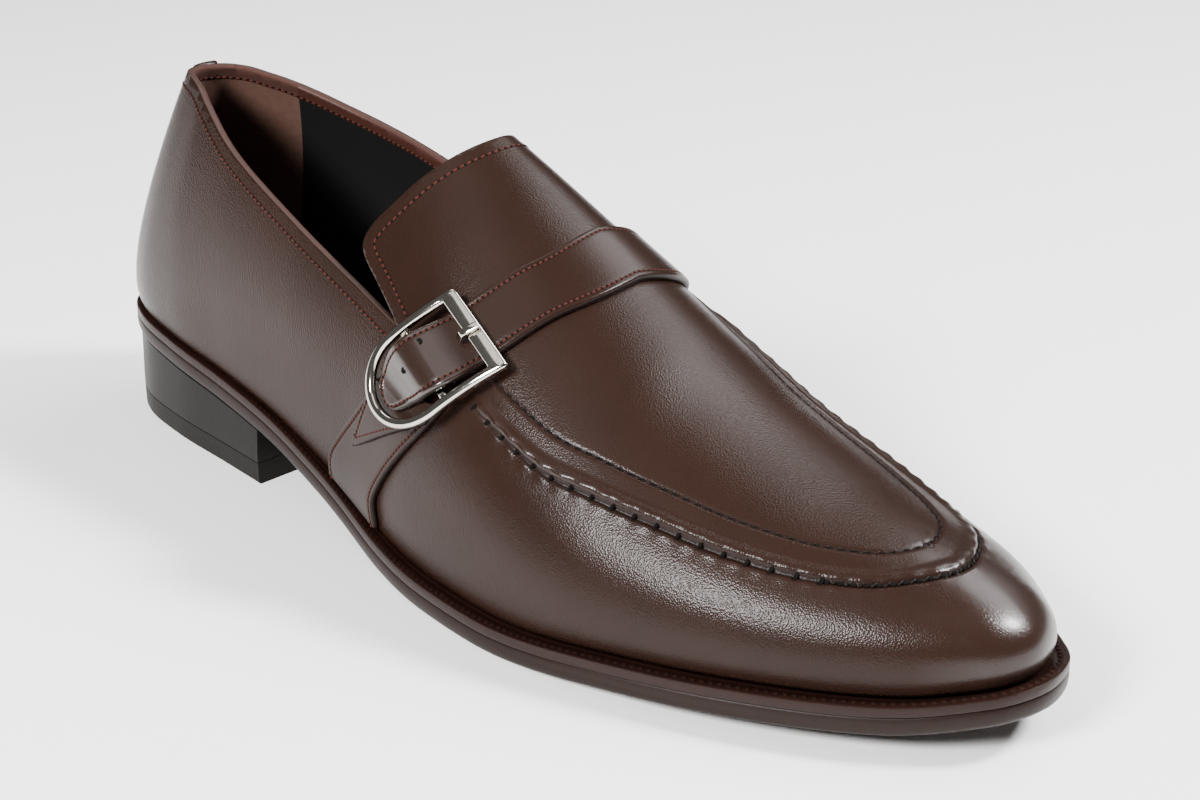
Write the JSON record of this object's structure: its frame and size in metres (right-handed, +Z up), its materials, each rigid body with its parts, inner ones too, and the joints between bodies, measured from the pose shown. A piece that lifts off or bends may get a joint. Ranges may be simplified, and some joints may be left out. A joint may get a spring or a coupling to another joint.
{
  "type": "monk strap shoe",
  "caption": "Right-foot leather dress slip-on with an apron toe, a saddle strap over the instep, a D-shaped side buckle, a stitched welt and a low stacked heel.",
  "frame": {"origin": "middle of the shoe's box, on the floor it stands on", "axes": "+X to the toe, -Y to the outer side with the buckle, +Z up"},
  "size_m": [0.304, 0.1027, 0.1011],
  "materials": {
    "upper_leather": "satin",
    "strap_leather": "satin",
    "welt_leather": "satin",
    "insole_leather": "matte",
    "sole_rubber": "satin",
    "heel_rubber": "satin",
    "buckle_nickel": "polished"
  },
  "bodies": {
    "root": {"heel_top_piece": "heel_rubber", "heel_block": "heel_rubber", "outsole": "sole_rubber", "welt": "welt_leather", "insole": "insole_leather", "upper": "upper_leather", "saddle_strap": "strap_leather", "lateral_saddle": "strap_leather", "buckle_tab": "strap_leather", "back_strip": "strap_leather", "buckle_frame": "buckle_nickel", "buckle_prong": "buckle_nickel"}
  },
  "joints": []
}
